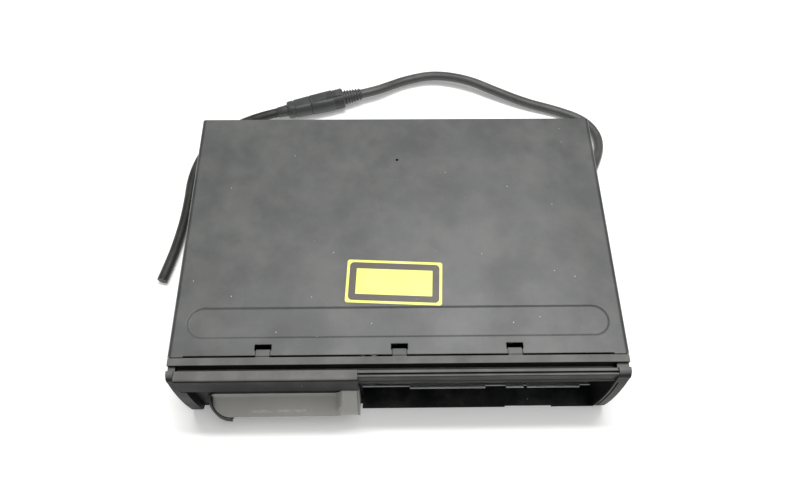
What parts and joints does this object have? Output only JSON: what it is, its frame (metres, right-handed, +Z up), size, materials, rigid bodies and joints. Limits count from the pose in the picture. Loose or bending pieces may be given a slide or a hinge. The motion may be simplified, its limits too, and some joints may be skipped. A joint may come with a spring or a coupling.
{
  "type": "car disc changer",
  "caption": "Car disc changer with a sliding front door, a magazine of disc trays behind it, a lifting play deck and a rear lead with an in-line plug.",
  "frame": {"origin": "bottom centre of the unit without its lead, on the surface it lies on", "axes": "+X to the right seen from the door, +Y to the back, +Z up"},
  "size_m": [0.3193, 0.2779, 0.0611],
  "materials": {
    "cover_steel": "black satin powder coat on steel",
    "chassis_steel": "zinc-plated sheet steel",
    "bezel_plastic": "black fine-textured moulding",
    "door_plastic": "black satin moulding",
    "grip_plastic": "dark warm grey moulding",
    "label_print": "yellow and black printed film",
    "screw_black": "black oxide",
    "screw_steel": "bright zinc",
    "dial_plastic": "black nylon",
    "button_plastic": "black moulding",
    "spring_steel": "spring wire",
    "lever_plastic": "natural acetal",
    "magazine_plastic": "black moulding",
    "tray_plastic": "dark grey moulding",
    "loader_steel": "zinc-plated sheet steel",
    "damper_rubber": "soft black rubber",
    "gear_plastic": "white acetal",
    "motor_steel": "nickel-plated can",
    "deck_steel": "zinc-plated sheet steel",
    "turntable_plastic": "black moulding",
    "pickup_metal": "die-cast",
    "lens_glass": "clear, coated",
    "board_laminate": "green lacquered laminate",
    "chip_plastic": "black epoxy",
    "capacitor_sleeve": "dark blue sleeve",
    "lead_jacket": "matt black jacket",
    "plug_plastic": "black moulding",
    "tail_sheath": "black sheath"
  },
  "bodies": {
    "chassis": {"top_cover": "cover_steel", "base_tray": "chassis_steel", "front_bezel": "bezel_plastic", "label_plate": "label_print", "cover_screws": "screw_black", "base_screws": "screw_steel", "weld_nuts": "screw_steel", "eject_spring": "spring_steel", "loader_frame": "loader_steel", "dampers": "damper_rubber", "support_springs": "spring_steel", "lift_base": "chassis_steel", "guide_posts": "screw_steel", "lift_motor": "motor_steel", "clamp_motor": "motor_steel", "main_board": "board_laminate", "board_chips": "chip_plastic", "board_capacitors": "capacitor_sleeve", "cable_gland": "plug_plastic", "lead_cable": "lead_jacket", "plug_boot": "plug_plastic", "plug_body": "plug_plastic", "plug_latch": "plug_plastic", "inline_socket": "plug_plastic", "harness_tail": "tail_sheath"},
    "door": {"door_panel": "door_plastic", "door_grip": "grip_plastic"},
    "inner_leaf": {"inner_door": "door_plastic"},
    "button": {"eject_button": "button_plastic"},
    "lever": {"eject_lever": "lever_plastic"},
    "magazine": {"magazine_case": "magazine_plastic", "magazine_cover": "magazine_plastic"},
    "lift_shaft": {"lift_screw": "screw_steel", "lift_gear": "gear_plastic"},
    "lift_drive": {"lift_pinion": "gear_plastic"},
    "clamp_shaft": {"clamp_screw": "screw_steel", "clamp_gear": "gear_plastic"},
    "clamp_drive": {"clamp_pinion": "gear_plastic"},
    "deck": {"play_deck": "deck_steel", "guide_rods": "screw_steel", "spindle_motor": "motor_steel", "sled_motor": "motor_steel"},
    "disc_table": {"turntable": "turntable_plastic"},
    "pickup": {"optical_pickup": "pickup_metal", "pickup_lens": "lens_glass"},
    "sled_drive": {"sled_screw": "screw_steel"},
    "bridge": {"clamp_bridge": "deck_steel"},
    "clamper": {"disc_clamper": "turntable_plastic"},
    "dial_left": {"angle_dial_left": "dial_plastic"},
    "dial_right": {"angle_dial_right": "dial_plastic"},
    "tray_1": {"disc_tray_1": "tray_plastic"},
    "tray_2": {"disc_tray_2": "tray_plastic"},
    "tray_3": {"disc_tray_3": "tray_plastic"},
    "tray_4": {"disc_tray_4": "tray_plastic"},
    "tray_5": {"disc_tray_5": "tray_plastic"},
    "tray_6": {"disc_tray_6": "tray_plastic"}
  },
  "joints": [
    {"name": "door_slide", "type": "slide", "parent": "chassis", "child": "door", "axis": [1, 0, 0], "range_m": [0, 0.14365]},
    {"name": "inner_door_slide", "type": "slide", "parent": "chassis", "child": "inner_leaf", "axis": [1, 0, 0], "range_m": [0, 0.07182]},
    {"name": "eject_press", "type": "slide", "parent": "chassis", "child": "button", "axis": [0, 1, 0], "range_m": [0, 0.0025], "stiffness_N_per_m": 400, "springref_m": -0.002, "deforming": ["eject_spring"]},
    {"name": "latch_turn", "type": "hinge", "parent": "chassis", "child": "lever", "pos_m": [-0.025, -0.048, 0.0458], "axis": [0, 0, 1], "range_deg": [-0.5, 20]},
    {"name": "magazine_slide", "type": "slide", "parent": "chassis", "child": "magazine", "axis": [0, 1, 0], "range_m": [-0.16, 0]},
    {"name": "deck_lift", "type": "slide", "parent": "chassis", "child": "deck", "axis": [0, 0, 1], "range_m": [0, 0.0326]},
    {"name": "lift_screw_turn", "type": "hinge", "parent": "chassis", "child": "lift_shaft", "pos_m": [-0.094, 0.076, 0.03], "axis": [0, 0, 1], "range_deg": [-5, 2945]},
    {"name": "lift_pinion_turn", "type": "hinge", "parent": "chassis", "child": "lift_drive", "pos_m": [-0.0815, 0.076, 0.0045], "axis": [0, 0, 1], "range_deg": [-7575, 15]},
    {"name": "disc_spin", "type": "hinge", "parent": "deck", "child": "disc_table", "pos_m": [-0.057, 0, 0.009], "axis": [0, 0, 1], "continuous": true},
    {"name": "pickup_slide", "type": "slide", "parent": "deck", "child": "pickup", "axis": [0, -1, 0], "range_m": [0, 0.033]},
    {"name": "sled_screw_turn", "type": "hinge", "parent": "deck", "child": "sled_drive", "pos_m": [-0.03, -0.04, 0.0042], "axis": [0, 1, 0], "range_deg": [-5, 3970]},
    {"name": "clamp_lower", "type": "slide", "parent": "chassis", "child": "bridge", "axis": [0, 0, 1], "range_m": [-0.0338, 0]},
    {"name": "clamp_screw_turn", "type": "hinge", "parent": "chassis", "child": "clamp_shaft", "pos_m": [-0.028, 0.076, 0.03], "axis": [0, 0, 1], "range_deg": [-3052, 5]},
    {"name": "clamp_pinion_turn", "type": "hinge", "parent": "chassis", "child": "clamp_drive", "pos_m": [-0.0405, 0.076, 0.0045], "axis": [0, 0, 1], "range_deg": [-15, 7850]},
    {"name": "clamper_spin", "type": "hinge", "parent": "bridge", "child": "clamper", "pos_m": [-0.057, 0, 0.05], "axis": [0, 0, 1], "continuous": true},
    {"name": "dial_left_turn", "type": "hinge", "parent": "chassis", "child": "dial_left", "pos_m": [-0.127, 0.07, 0.026], "axis": [-1, 0, 0], "range_deg": [0, 90]},
    {"name": "dial_right_turn", "type": "hinge", "parent": "chassis", "child": "dial_right", "pos_m": [0.127, 0.07, 0.026], "axis": [1, 0, 0], "range_deg": [0, 90]},
    {"name": "tray_1_slide", "type": "slide", "parent": "magazine", "child": "tray_1", "axis": [1, 0, 0], "range_m": [-0.113, 0]},
    {"name": "tray_2_slide", "type": "slide", "parent": "magazine", "child": "tray_2", "axis": [1, 0, 0], "range_m": [-0.113, 0]},
    {"name": "tray_3_slide", "type": "slide", "parent": "magazine", "child": "tray_3", "axis": [1, 0, 0], "range_m": [-0.113, 0]},
    {"name": "tray_4_slide", "type": "slide", "parent": "magazine", "child": "tray_4", "axis": [1, 0, 0], "range_m": [-0.113, 0]},
    {"name": "tray_5_slide", "type": "slide", "parent": "magazine", "child": "tray_5", "axis": [1, 0, 0], "range_m": [-0.113, 0]},
    {"name": "tray_6_slide", "type": "slide", "parent": "magazine", "child": "tray_6", "axis": [1, 0, 0], "range_m": [-0.113, 0]}
  ],
  "couplings": [
    {"joint": "inner_door_slide", "follows": "door_slide", "ratio": 0.5},
    {"joint": "latch_turn", "follows": "eject_press", "rad_per_m": 130},
    {"joint": "lift_screw_turn", "follows": "deck_lift", "rad_per_m": 1570.8},
    {"joint": "lift_pinion_turn", "follows": "deck_lift", "rad_per_m": -4039.2},
    {"joint": "sled_screw_turn", "follows": "pickup_slide", "rad_per_m": 2094.4},
    {"joint": "clamp_screw_turn", "follows": "clamp_lower", "rad_per_m": 1570.8},
    {"joint": "clamp_pinion_turn", "follows": "clamp_lower", "rad_per_m": -4039.2}
  ]
}
